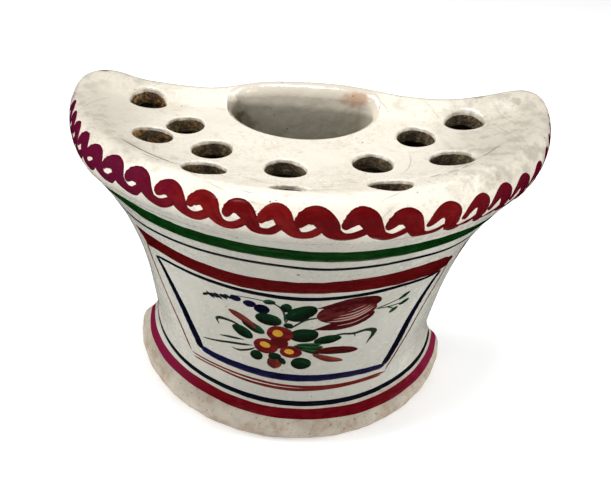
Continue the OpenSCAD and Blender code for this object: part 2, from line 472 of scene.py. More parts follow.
class Sock:
    """A node socket that Python arithmetic works on: each operator adds a Math node."""

    def __init__(self, tree: Tree, socket: bpy.types.NodeSocket) -> None:
        """Keeps the socket and the tree that it is in."""
        self.tree, self.socket = tree, socket

    def math(self, operation: str, *values: Sock | float) -> Sock:
        """One Math node of that operation on this socket and the given values."""
        return self.tree.math(operation, self, *values)

    def __add__(self, other: Sock | float) -> Sock:
        """This plus other."""
        return self.math("ADD", other)

    def __mul__(self, other: Sock | float) -> Sock:
        """This times other."""
        return self.math("MULTIPLY", other)

    __radd__, __rmul__ = __add__, __mul__

    def __sub__(self, other: Sock | float) -> Sock:
        """This minus other."""
        return self.math("SUBTRACT", other)

    def __rsub__(self, other: float) -> Sock:
        """Other minus this."""
        return self.tree.math("SUBTRACT", other, self)

    def __neg__(self) -> Sock:
        """Nought minus this."""
        return self * -1.0

    def __truediv__(self, other: Sock | float) -> Sock:
        """This over other."""
        return self.math("DIVIDE", other)

    def rise(self, low: float, high: float) -> Sock:
        """0 at low and 1 at high, eased at both ends; low may be the larger."""
        settings = {"interpolation_type": "SMOOTHSTEP"}
        if low > high:
            return 1 - self.rise(high, low)
        inputs = {"Value": self, "From Min": low, "From Max": high}
        return self.tree.out("ShaderNodeMapRange", settings, inputs, "Result")


class Tree:
    """One material's nodes, from noise to the shader."""

    def __init__(self, name: str) -> None:
        """Makes the material with only its output in it."""
        self.material = bpy.data.materials.new(name)
        self.material.use_nodes = True
        self.nodes, self.links = self.material.node_tree.nodes, self.material.node_tree.links
        self.nodes.clear()
        self.spot = self.position()

    def add(self, kind: str, settings: dict, inputs: dict) -> bpy.types.Node:
        """Adds one node.

        Args:
            kind: the node's Blender type.
            settings: its own properties, set first.
            inputs: values or links by socket name or number.

        Returns:
            The node.
        """
        node = self.nodes.new(kind)
        for key, value in settings.items():
            setattr(node, key, value)
        for key, value in inputs.items():
            socket = node.inputs[key]
            if isinstance(value, Sock):
                self.links.new(value.socket, socket)
            elif socket.type == "RGBA" and len(value) == 3:
                socket.default_value = (*value, 1)
            else:
                socket.default_value = value
        return node

    def out(self, kind: str, settings: dict, inputs: dict, output: str | int = 0) -> Sock:
        """Adds one node and gives one of its outputs."""
        return Sock(self, self.add(kind, settings, inputs).outputs[output])

    def math(self, operation: str, *values: Sock | float) -> Sock:
        """One Math node."""
        return self.out("ShaderNodeMath", {"operation": operation}, dict(enumerate(values)))

    def position(self) -> Sock:
        """Object coordinates in millimetres."""
        where = self.out("ShaderNodeTexCoord", {}, {}, "Object")
        return self.out(
            "ShaderNodeVectorMath", {"operation": "SCALE"}, {0: where, "Scale": 1 / MM}
        )

    def value(self, name: str) -> Sock:
        """One of the piece's own vertex attributes."""
        return self.out("ShaderNodeAttribute", {"attribute_name": name}, {}, "Fac")

    def axis(self, name: str) -> Sock:
        """The X, Y or Z of the position in millimetres."""
        return self.out("ShaderNodeSeparateXYZ", {}, {0: self.spot}, name)

    def stretched(self, x: float, y: float, z: float) -> Sock:
        """The position in millimetres with each axis scaled."""
        inputs = {0: self.spot, 1: (x, y, z)}
        return self.out("ShaderNodeVectorMath", {"operation": "MULTIPLY"}, inputs)

    def noise(
        self, size: float, detail: float = 3.0, rough: float = 0.5, spot: Sock | None = None
    ) -> Sock:
        """Noise from 0 to 1 whose lumps are about size millimetres across."""
        inputs = {
            "Vector": spot or self.spot,
            "Scale": 1 / size,
            "Detail": detail,
            "Roughness": rough,
        }
        return self.out("ShaderNodeTexNoise", {}, inputs, "Fac")

    def cells(self, size: float, feature: str = "F1") -> Sock:
        """Distance to the nearest of scattered points, or to a cell's edge, in cell sizes."""
        inputs = {"Vector": self.spot, "Scale": 1 / size}
        return self.out("ShaderNodeTexVoronoi", {"feature": feature}, inputs, "Distance")

    def distance(self, where: Sock, point: tuple[float, float, float]) -> Sock:
        """How far a position is from a point, both in millimetres."""
        inputs = {0: where, 1: point}
        return self.out("ShaderNodeVectorMath", {"operation": "DISTANCE"}, inputs, "Value")

    def near(self, point: tuple[float, float, float], reach: float, ragged: float = 0.5) -> Sock:
        """1 at a point in millimetres, fading to 0 at about reach from it, with a ragged edge."""
        away = self.distance(self.spot, point)
        uneven = 1 + (self.noise(reach * 0.6, 3, 0.6) - 0.5) * (2 * ragged)
        return (away / reach * uneven).rise(1.0, 0.55)

    def blend(self, share: Sock | float, low: Sock | tuple, high: Sock | tuple) -> Sock:
        """The colour low where share is 0 and high where it is 1."""
        inputs = {"Factor": share, "A": low, "B": high}
        node = self.nodes.new("ShaderNodeMix")
        node.data_type = "RGBA"
        sockets = {
            s.name: s for s in node.inputs if s.type == "RGBA" or s.identifier[-5:] == "Float"
        }
        for key, value in inputs.items():
            if isinstance(value, Sock):
                self.links.new(value.socket, sockets[key])
            else:
                sockets[key].default_value = (*value, 1) if key != "Factor" else value
        return Sock(self, next(o for o in node.outputs if o.type == "RGBA"))

    def bump(self, height: Sock, depth: float, under: Sock | None = None) -> Sock:
        """A Bump node; depth is in millimetres for a height of 1."""
        inputs = {"Height": height, "Distance": depth * MM, "Strength": 1.0}
        if under is not None:
            inputs["Normal"] = under
        return self.out("ShaderNodeBump", {}, inputs)

    def finish(self, **inputs: Sock | float | tuple) -> bpy.types.Material:
        """Ends the tree in a Principled shader with these inputs and gives the material."""
        named = {k.replace("_", " "): v for k, v in inputs.items()}
        shader = self.out("ShaderNodeBsdfPrincipled", {}, named)
        self.add("ShaderNodeOutputMaterial", {}, {"Surface": shader})
        return self.material


# ---------------------------------------------------------------- the pot's pieces


@dataclass
class ThrownShell:
    """The thrown and luted clay: foot, round wall, rolled rim and flat back."""

    foot_top: float = 16.4
    crease: float = 121.2
    rim_top: float = 139.5
    foot_inside: float = 64.5
    steps: int = 300

    def stretch(self, stations: Array, low: float, high: float, count: int) -> Array:
        """The outside between two heights, as a grid of points."""
        return FORM.outside(stations, *FORM.rows(low, high, count))

    def foot(self, finish: bpy.types.Material) -> None:
        """The bulging foot: the profile's first rows, with a straight inside."""
        s = FORM.stations(self.steps, 6)
        r, z, inset = FORM.rows(0.0, self.foot_top, 30)
        rough = 0.35 * waver(21, s * 26, z / 3.5, terms=7) + 0.22 * waver(22, s * 70, z / 1.6)
        held = smoothstep(z, 0.0, 2.5) * (1 - smoothstep(z, 7.5, 11.0)) * (np.abs(s) < 0.95)
        outer = FORM.outside(s, r + rough * held, z, inset)
        inner = FORM.outside(s, self.foot_inside, z, FORM.back_t)
        made = Skin.between(outer, inner).piece("foot", finish, "bare_foot")
        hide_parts("foot_ring")

    def front(self, finish: bpy.types.Material) -> None:
        """The round wall from the foot up to the crease, an even wall thickness through."""
        s = FORM.stations(self.steps, 6)
        r, z, inset = FORM.rows(self.foot_top, self.crease, 84)
        outer = FORM.outside(s, r, z, inset)
        inner = FORM.outside(s, r - FORM.wall_t, z, FORM.back_t)
        made = Skin.between(outer, inner, hidden=9.0).piece("round_wall", finish, "tin_glaze")
        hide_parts("front_wall")

    def roll(self, finish: bpy.types.Material) -> None:
        """The rolled rim from the crease over the crest, hollow behind as the wall is."""
        s = FORM.stations(400, 8)
        rows = 34
        inside = smooth_path([(91.5, 121.2), (94.6, 127.0), (95.0, 132.3), (97.4, 132.5)], rows)
        outer = self.stretch(s, self.crease, self.rim_top, rows)
        inner = FORM.outside(s, inside[:, :1], inside[:, 1:], FORM.edge_round)
        made = Skin.between(outer, inner, hidden=9.0).piece("rolled_rim", finish, "tin_glaze")
        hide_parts("rim_roll")

    def back(self, finish: bpy.types.Material) -> None:
        """The flat back from the table to its wavy top edge, rounded over to meet the deck."""
        u = np.linspace(-1, 1, 221)
        s = np.where(u < 0, -1, 1) * (2 - np.abs(u))
        r, z, inset = FORM.rows(0.0, self.rim_top, 150)
        outer = FORM.outside(s, r, z, inset)
        sunk = z - FORM.deck_t * smoothstep(z, 100, self.rim_top)
        inner = FORM.outside(s, r - FORM.wall_t, sunk, FORM.back_t - 1)
        made = Skin.between(outer, inner, hidden=9.0).piece("flat_back", finish, "tin_glaze")
        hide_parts("back_wall")


@dataclass
class Well:
    """The deep D-shaped cup let into the deck, with a soft glazed lip."""

    x: float = -2.0
    q: float = 11.5
    mouth_r: float = 31.6
    wall_r: float = 29.3
    wall_q: float = 11.3
    mouth_corner: float = 5.5
    wall_corner: float = 5.0
    lip_drop: float = 3.0
    floor_z: float = 70.7
    floor_round: float = 4.0
    clay: float = 4.9

    def loop(self, s: Array, radius: Array, back: Array, corner: Array) -> tuple[Array, Array]:
        """The D's outline of that radius, its flat side at q = back, about the well's centre."""
        x, q = FORM.plan(s, radius, back - self.q, corner)
        return x + self.x, q + self.q

    def mouth(self, s: Array) -> tuple[Array, Array]:
        """The loop where the lip meets the deck and the back's rounded edge."""
        return self.loop(s, self.mouth_r, FORM.back_q + FORM.edge_round, self.mouth_corner)

    def build(self, finish: bpy.types.Material) -> None:
        """Lofts the lip, the wall and the rounded foot of the wall down to the floor.

        The lip is a quarter turn: its inset grows as a sine and its drop as one minus a cosine.
        """
        half = FORM.stations(200, 16)
        rear = np.linspace(1, 2, 30)[1:]
        s = np.concatenate([-rear[::-1][1:], half, rear])
        turn = np.linspace(0, math.pi / 2, 12)[:, None]
        mouth_q = FORM.back_q + FORM.edge_round
        sin, cos = np.sin(turn), np.cos(turn)
        x, q = self.loop(
            s,
            self.mouth_r + (self.wall_r - self.mouth_r) * sin,
            mouth_q + (self.wall_q - mouth_q) * sin,
            self.mouth_corner + (self.wall_corner - self.mouth_corner) * sin,
        )
        top = FORM.tilted(x, FORM.top_z(x, q))
        lip = in_frame(x, q, top - self.lip_drop * (1 - cos))
        t = np.linspace(0, 1, 34)[1:, None]
        x, q = self.loop(s, self.wall_r - 0.8 * t, self.wall_q + 0.8 * t, self.wall_corner)
        dent = 0.5 * waver(31, x / 9, q / 9, t * 4) * smoothstep(t, 0, 0.2)
        low = self.floor_z + self.floor_round
        wall = in_frame(x + dent, q + dent * 0.5, lip[-1:, :, 2] * (1 - t) + low * t)
        away = self.floor_round * (1 - cos[1:])
        x, q = self.loop(
            s, self.wall_r - 0.8 - away, self.wall_q + 0.8 + away, self.wall_corner - 0.5 * away
        )
        bend = in_frame(x, q, low - self.floor_round * sin[1:])
        seen = np.concatenate([lip, wall, bend])
        down = np.linspace(0, 1, len(seen))[:, None]
        x, q = self.loop(s, self.wall_r + self.clay, self.wall_q - 3.0, self.wall_corner + 3.0)
        under = lip[:1, :, 2] - 0.93 * FORM.deck_t
        hidden = in_frame(x[None], q[None], under * (1 - down) + self.floor_z * down)
        made = Skin.between(seen, hidden, ring=True).piece("well", finish, "well_glaze")
        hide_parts("well_wall")


@dataclass
class PiercedDeck:
    """The dished top between the well and the rim, with its hand-cut stem holes."""

    well: Well
    rows: int = 92
    steps: int = 400
    core: float = 2.8
    under_lip: float = 0.7

    def pierced(self, x: Array, q: Array, lip_scale: float) -> tuple[Array, ...]:
        """Draws the grid points round each hole onto its lip and wall.

        A point at distance d from a hole's centre moves along a path that runs in over the deck,
        turns down in a quarter circle and goes straight down to half the deck's depth. The path
        is followed in proportion, from d = reach down to d = core.

        Args:
            x: the grid's x.
            q: the grid's q.
            lip_scale: how large the lip's round is, as a share of the hole's own.

        Returns:
            The new x and q, the drop below the surface, and which points lie inside a hole.
        """
        drop = np.zeros_like(x)
        inside = np.zeros(x.shape, bool)
        for number, hole in enumerate(STEM_HOLES):
            dx, dq = x - hole.x, (q - hole.q) / hole.closed
            d, angle = np.hypot(dx, dq), np.arctan2(dq, dx)
            out = 0.035 * np.sin(2 * angle + number) + 0.02 * np.sin(3 * angle + 2.3 * number)
            radius = hole.radius * (1 + out)
            lip = hole.lip * lip_scale
            flat = hole.reach - radius - lip
            wall = FORM.deck_t / 2 - lip
            path = flat + lip * math.pi / 2 + wall
            run = np.clip((hole.reach - d) / (hole.reach - self.core), 0, 1) * path
            turn = np.clip((run - flat) / lip, 0, math.pi / 2)
            reach = hole.reach - np.minimum(run, flat) - lip * np.sin(turn)
            fall = lip * (1 - np.cos(turn)) + np.clip(run - flat - lip * math.pi / 2, 0, wall)
            near = d < hole.reach
            x = np.where(near, hole.x + reach * np.cos(angle), x)
            q = np.where(near, hole.q + hole.closed * reach * np.sin(angle), q)
            drop = np.where(near, fall, drop)
            inside |= d <= self.core
        return x, q, drop, inside

    def build(self, finish: bpy.types.Material) -> None:
        """Joins the pierced top and underside where they meet inside the holes and at the rims.

        The flat grid runs in straight lines from the well's mouth to the rim.
        """
        s = FORM.stations(self.steps, 8)
        v = np.linspace(0, 1, self.rows)[:, None]
        near = self.well.mouth(s)
        far = FORM.plan(s, FORM.junction_r, FORM.back_q + FORM.edge_round, FORM.roll_corner)
        x, q = ((1 - v) * a + v * b for a, b in zip(near, far))
        sheets, falls = [], []
        for lip_scale, base, way in ((1.0, 0.0, 1.0), (self.under_lip, FORM.deck_t, -1.0)):
            px, pq, drop, inside = self.pierced(x, q, lip_scale)
            sheets.append(in_frame(px, pq, FORM.tilted(px, FORM.top_z(px, pq)) - base - way * drop))
            falls.append(drop if way > 0 else FORM.deck_t - drop)
        count = x.size
        top = np.arange(count).reshape(x.shape)
        low = np.where(inside, top, top + count)
        rim = quads(np.stack([outline(low), outline(top)]))
        open_ = quads(inside.astype(int)).sum(1) == 4
        faces = np.concatenate([quads(top)[~open_], quads(low)[~open_][:, ::-1], rim])
        vertices = np.concatenate([p.reshape(-1, 3) for p in sheets])
        depth = np.concatenate([f.reshape(-1) for f in falls])
        skin = Skin(vertices, faces, {"depth": depth}).turned_out()
        made = skin.piece("pierced_deck", finish, "tin_glaze")
        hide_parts("top_deck")


# ---------------------------------------------------------------- brushwork


class End(Enum):
    """How a brush stroke begins and ends."""

    ROUND = "lifted off round"
    CUT = "stopped square against a line"
    POINTED = "drawn out to a point"
    OVAL = "one dab, an oval"
    LEAF = "one dab, pressed and drawn out to two tips"
    PETAL = "one dab from a fine tip to a full round end"


@dataclass(frozen=True)
class Brush:
    """One way of laying enamel: how the strokes end, how proud they stand and in which layer."""

    ends: End = End.ROUND
    proud: float = 0.16
    layer: int = 0
    layer_step: float = 0.05
    root: float = 0.35
    step: float = 0.7
    columns: int = 9

    def spacing(self, length: float, width: float) -> Array:
        """Where the rows lie along a stroke of that length: closer together over its two ends."""
        cap = min(max(width, 0.6), length * 0.4)
        tip = cap * (1 - np.cos(np.linspace(0, math.pi / 2, 7)))
        middle = np.linspace(cap, length - cap, max(3, round((length - 2 * cap) / self.step)))
        return np.concatenate([tip[:-1], middle, length - tip[-2::-1]])

    def fullness(self, at: Array, length: float, width: Array) -> Array:
        """The share of the full width at each place along the stroke, by the kind of end."""
        near = np.minimum(at, length - at)
        t = at / length
        if self.ends is End.CUT:
            share = np.ones_like(at)
        elif self.ends is End.ROUND:
            inside = np.clip(near / np.maximum(width / 2, 0.2), 0, 1)
            share = np.sqrt(1 - (1 - inside) ** 2)
        elif self.ends is End.POINTED:
            share = np.clip(near / np.maximum(width * 2.5, 0.5), 0, 1) ** 0.7
        elif self.ends is End.OVAL:
            share = np.sqrt(np.clip(1 - (2 * t - 1) ** 2, 0, 1))
        elif self.ends is End.PETAL:
            share = np.clip(1 - (1 - t) ** 2.2, 0, 1) ** 1.1 * np.sqrt(np.clip(1 - t**5, 0, 1))
        else:
            share = np.sin(math.pi * t) ** 0.75 * (1 + 0.25 * np.cos(math.pi * t))
        return np.maximum(share, 0.05)

    def stroke(self, points: list[tuple[float, ...]], tone: float = 0.5, seed: int = 0) -> Skin:
        """One stroke: a thin domed ribbon on the round front, closed beneath the glaze.

        The stroke's middle line is a smooth curve over the surface unrolled flat, with arc round
        the pot across and arc up the profile upwards. Each row of the grid steps from it to both
        sides at a right angle, by half the stroke's width times c, and stands proud by a share
        1 - c^4 of the enamel's thickness, with c from -1 to 1.

        Args:
            points: round the front in degrees, height and full width in millimetres, and
                optionally how thin the enamel is, from 0 to 1.
            tone: the stroke's own shade, from 0 to 1.
            seed: fixes the small unevenness of the edges.

        Returns:
            The ribbon, with the values run, side, tone and thin.
        """
        p = np.array([[*q, 0.0][:4] for q in points], float)
        reach = float(FORM.radius_at(p[:, 1].mean()))
        p[:, 0] = np.radians(p[:, 0]) * reach
        p[:, 1] = FORM.climb(p[:, 1])
        path = smooth_path(p, 40 * len(p))
        run = np.concatenate([[0], np.cumsum(np.hypot(*np.diff(path[:, :2], axis=0).T))])
        at = self.spacing(run[-1], float(p[:, 2].mean()))
        u, t, width, thin = (np.interp(at, run, column) for column in path.T)
        du, dt = np.gradient(u, at), np.gradient(t, at)
        size = np.hypot(du, dt)
        c = np.linspace(-1, 1, self.columns)
        c = np.sign(c) * np.abs(c) ** 0.7
        ragged = 1 + 0.06 * waver(seed + 5, at[:, None] / 2.2, np.sign(c) * 3)
        half = (width * self.fullness(at, run[-1], width) / 2)[:, None] * ragged * c
        phi = (u[:, None] - half * (dt / size)[:, None]) / reach
        z = FORM.height(t[:, None] + half * (du / size)[:, None])
        top = self.proud + self.layer * self.layer_step
        outer = FORM.face(phi, z, top * (1 - c**4) - 0.02)
        inner = FORM.face(phi, z, -self.root)
        shade = np.full(phi.shape, tone)
        values = {"run": at[:, None], "side": c, "tone": shade, "thin": thin[:, None]}
        return Skin.between(outer, inner, **values)


@dataclass
class Border:
    """The painted bands and lines that run round the front, each with its own drift.

    Every list gives places round the front in degrees, the height of the middle line and the
    line's width, then how thin the enamel is.
    """

    green: tuple = (
        (-86, 128, 3.4, 0.95), (-70, 125.6, 4.4, 0.75), (-56, 122.0, 5.6, 0.5),
        (-47, 119.2, 7.0, 0.3), (-42, 117.6, 8.0, 0.1), (-34, 115.8, 8.7), (-25, 115.3, 8.4),
        (-15, 114.8, 8.1), (-6, 114.1, 8.1), (6, 113.3, 8.0), (18, 113.0, 8.0), (29, 112.9, 7.8),
        (40, 112.6, 7.5), (50, 111.5, 7.0, 0.2), (60, 110.5, 6.0, 0.5), (74, 111, 4.8, 0.8),
        (86, 112, 3.8, 0.95),
    )
    hairline: tuple = (
        (-84, 108.5, 1.4), (-60, 105.5, 1.8), (-46, 104.2, 2.2), (-34, 105.4, 2.2),
        (-23, 106.0, 2.2), (-13, 106.2, 2.2), (-3, 105.9, 2.1), (7, 105.0, 2.1), (20, 105.2, 2.1),
        (31, 105.2, 2.1), (44, 103.6, 2.0), (60, 102.5, 1.6), (84, 102, 1.2),
    )
    wedge: tuple = (
        (-48.6, 91.4, 12.8), (-45, 92.6, 11), (-37, 93.7, 10.2), (-22, 92.4, 9.4), (-11, 91.4, 9.2),
        (4, 92.0, 8.3), (14, 92.9, 8.9), (24, 93.3, 9.8), (37, 93.2, 11.2), (45, 90.6, 10),
        (50.4, 88.2, 6.1),
    )
    side_wedge: tuple = (
        (54, 98, 2.0, 0.2), (57, 91, 6.0, 0.4), (60, 82, 5.0, 0.6), (63, 72, 1.5, 0.8),
    )
    inked: tuple = (
        (-84, 22.8, 2), (-65, 21.4, 2.3), (-49, 20.2, 2.5), (-25, 19.5, 2.6), (0, 18.1, 2.8),
        (25, 17.6, 2.6), (44, 17.4, 2.5), (60, 16.6, 2.3), (69, 16.2, 2.1), (84, 15.6, 2),
    )
    foot_band: tuple = (
        (-86, 15.2, 3.64), (-73, 14.7, 4.48), (-55, 14.8, 4.76), (-31, 15.2, 4.9), (-8, 14.3, 4.76),
        (14, 13.8, 4.9), (28, 13.4, 4.9), (46, 13.2, 4.76), (65, 12.8, 4.48), (86, 12.4, 3.64),
    )

    def build(self, looks: Looks) -> None:
        """Lays each band as one long stroke."""
        long = Brush(step=1.0)
        fine = Brush(End.POINTED, proud=0.12, columns=7)
        long.stroke(self.green, 0.4, 11).piece("green_band", looks.green, "green_enamel")
        fine.stroke(self.hairline, 0.2, 12).piece("upper_hairline", looks.ink, "blue_enamel")
        wedges = [
            Brush(End.CUT).stroke(self.wedge, 0.35, 13),
            Brush(End.POINTED).stroke(self.side_wedge, 0.35, 14),
        ]
        Skin.joined(wedges).piece("dark_red_band", looks.oxblood, "crimson_enamel")
        fine.stroke(self.inked, 0.3, 14).piece("lower_ink_line", looks.ink, "blue_enamel")
        long.stroke(self.foot_band, 0.5, 15).piece("foot_band", looks.rose, "crimson_enamel")


@dataclass
class WaveBand:
    """The running-wave border on the rolled rim: hooked heads joined by hanging swags.

    Each wave is drawn in one stroke from the hook's end, over the head, down the stem and
    through the swag to the next head's stem. The stroke's points are given in millimetres from
    the head's middle and from the swag's lowest line, for a wave of the given pitch and height.
    """

    heads: tuple[float, ...] = (
        -74.5, -69, -62.7, -57.0, -50.8, -44.8, -38.2, -31.3, -23.9, -16.6, -9.8,
        -3.1, 4.1, 12.3, 20.4, 28.9, 36.7, 43.4, 50.1, 57.0, 63.6, 69.4, 74.8, 80.0,
    )
    crests: tuple = (
        (-90, 139.2), (-52, 139.0), (-32, 138.6), (-18, 138.3), (-4, 137.8), (12, 137.4),
        (20, 136.9), (28, 136.5), (36, 137.2), (43, 137.1), (57, 137.0), (64, 137.8),
        (70, 138.6), (90, 139.2),
    )
    swags: tuple = (
        (-90, 129.4), (-57, 129.6), (-39, 129.4), (-24, 128.7), (-12, 127.0), (3, 125.7),
        (12, 125.0), (22, 122.6), (31, 120.4), (43, 119.9), (60, 121.2), (90, 122.5),
    )
    motif: tuple = (
        (-4.7, 4.4, 3.2), (-4.6, 5.9, 3.9), (-3.1, 7.8, 4.9), (-0.5, 8.6, 5.9), (1.8, 7.6, 6.4),
        (3.1, 5.6, 6.0), (4.2, 3.6, 5.4), (5.8, 1.9, 4.6), (8.0, 1.1, 4.2), (10.2, 1.5, 3.9),
        (12.2, 2.8, 3.5), (14.6, 4.8, 3.0),
    )
    pitch: float = 12.6
    height: float = 11.0
    seed: int = 40

    def build(self, looks: Looks) -> None:
        """Draws the waves from left to right, each a little different."""
        rng = np.random.default_rng(self.seed)
        crests, swags = (smooth_path(t, 400).T for t in (self.crests, self.swags))
        motif = np.array(self.motif)
        brush = Brush(step=0.55, columns=11)
        ends = (*self.heads[1:], self.heads[-1] + 5.0)
        waves = []
        for number, (head, after) in enumerate(zip(self.heads, ends)):
            along = math.radians(after - head) * FORM.radius_at(131.0) / self.pitch
            x = motif[:, 0] * along + rng.normal(0, 0.22, len(motif))
            phi = head + np.degrees(x / FORM.radius_at(131.0))
            keep = np.abs(phi) < 82.0
            top, low = np.interp(phi, *crests), np.interp(phi, *swags)
            full = FORM.climb(np.minimum(top, 139.3)) - FORM.climb(low)
            climb = FORM.climb(low) + motif[:, 1] / self.height * full * rng.uniform(0.97, 1.02)
            width = motif[:, 2] * (0.55 + 0.45 * along) * rng.uniform(0.93, 1.08)
            faint = smoothstep(-head, 66, 78) * 0.9 + smoothstep(head, 74, 88) * 0.6
            points = np.stack([phi, FORM.height(climb), width, np.full(len(phi), faint)], 1)[keep]
            if len(points) > 3:
                waves.append(brush.stroke(points.tolist(), rng.uniform(0.2, 0.8), number))
        Skin.joined(waves).piece("wave_band", looks.wave, "crimson_enamel")


@dataclass
class Panel:
    """The ruled frame on the front: thick blue lines, a fine top line and red lines beside it."""

    left: tuple = (
        (-44.4, 82.8, 3.1), (-41.2, 68.9, 3.9), (-37.4, 55, 4.5), (-33.8, 43, 4.8),
        (-32.0, 36.4, 4.5),
    )
    right: tuple = (
        (47.7, 84.8, 3.2), (45.8, 72, 4.2), (44.0, 60.4, 4.8), (41.8, 45.1, 5.2), (38.7, 31, 4.9),
    )
    bottom: tuple = (
        (-32.2, 37.0, 4.2), (-24, 36.0, 4.5), (-16, 35.3, 4.8), (-6, 34.2, 5), (3, 33.6, 5),
        (12, 33.4, 4.8), (22, 33.2, 4.5), (32, 32.0, 4.2), (39.0, 30.6, 4),
    )
    top: tuple = (
        (-45, 82.6, 1.8), (-38, 85.0, 2.2), (-28, 85.8, 2.5), (-15, 85.3, 2.6), (1, 84.6, 2.7),
        (9, 85.0, 2.6), (20, 86.2, 2.5), (33, 87.2, 2.3), (48, 85, 1.8),
    )
    red_left: tuple = (
        (-47.5, 91.0, 1), (-50, 76, 1.4), (-47.5, 60, 1.4), (-42.5, 46, 1.4), (-38, 30.3, 1.3),
    )
    red_right: tuple = (
        (50.4, 88.5, 1), (52.3, 74.9, 1.4), (49.6, 60, 1.4), (47.0, 49.1, 1.4), (43.6, 36.8, 1.4),
        (40.6, 25.9, 1.3),
    )
    red_double: tuple = (
        (
            (-38, 29.4, 1.3), (-26, 30.0, 1.5), (-16, 29.4, 1.6), (4, 27.6, 1.7), (20, 26.8, 1.5),
            (34, 26.3, 1.6), (41.0, 25.2, 1.2),
        ),
        (
            (-37, 27.4, 1.1), (-26, 28.2, 1.2), (-16, 27.2, 1.5), (-5, 26.2, 1.9), (4, 25.6, 2.1),
            (14, 25.6, 1.9), (28, 25.4, 1.2), (39, 24.6, 1.0),
        ),
    )

    def build(self, looks: Looks) -> None:
        """Rules the frame: straight strokes that overlap at the corners."""
        bold = Brush(step=0.9)
        sides = ((self.left, 0.2), (self.right, 0.2), (self.bottom, 0.8))
        frame = [bold.stroke(path, tone, n) for n, (path, tone) in enumerate(sides)]
        Skin.joined(frame).piece("panel_frame", looks.blue, "blue_enamel")
        fine = Brush(End.POINTED, proud=0.12, columns=7)
        fine.stroke(self.top, 0.1, 5).piece("panel_top_line", looks.ink, "blue_enamel")
        lines = (self.red_left, self.red_right, *self.red_double)
        reds = [fine.stroke(path, 0.5, 6 + n) for n, path in enumerate(lines)]
        Skin.joined(reds).piece("red_lines", looks.rust, "crimson_enamel")


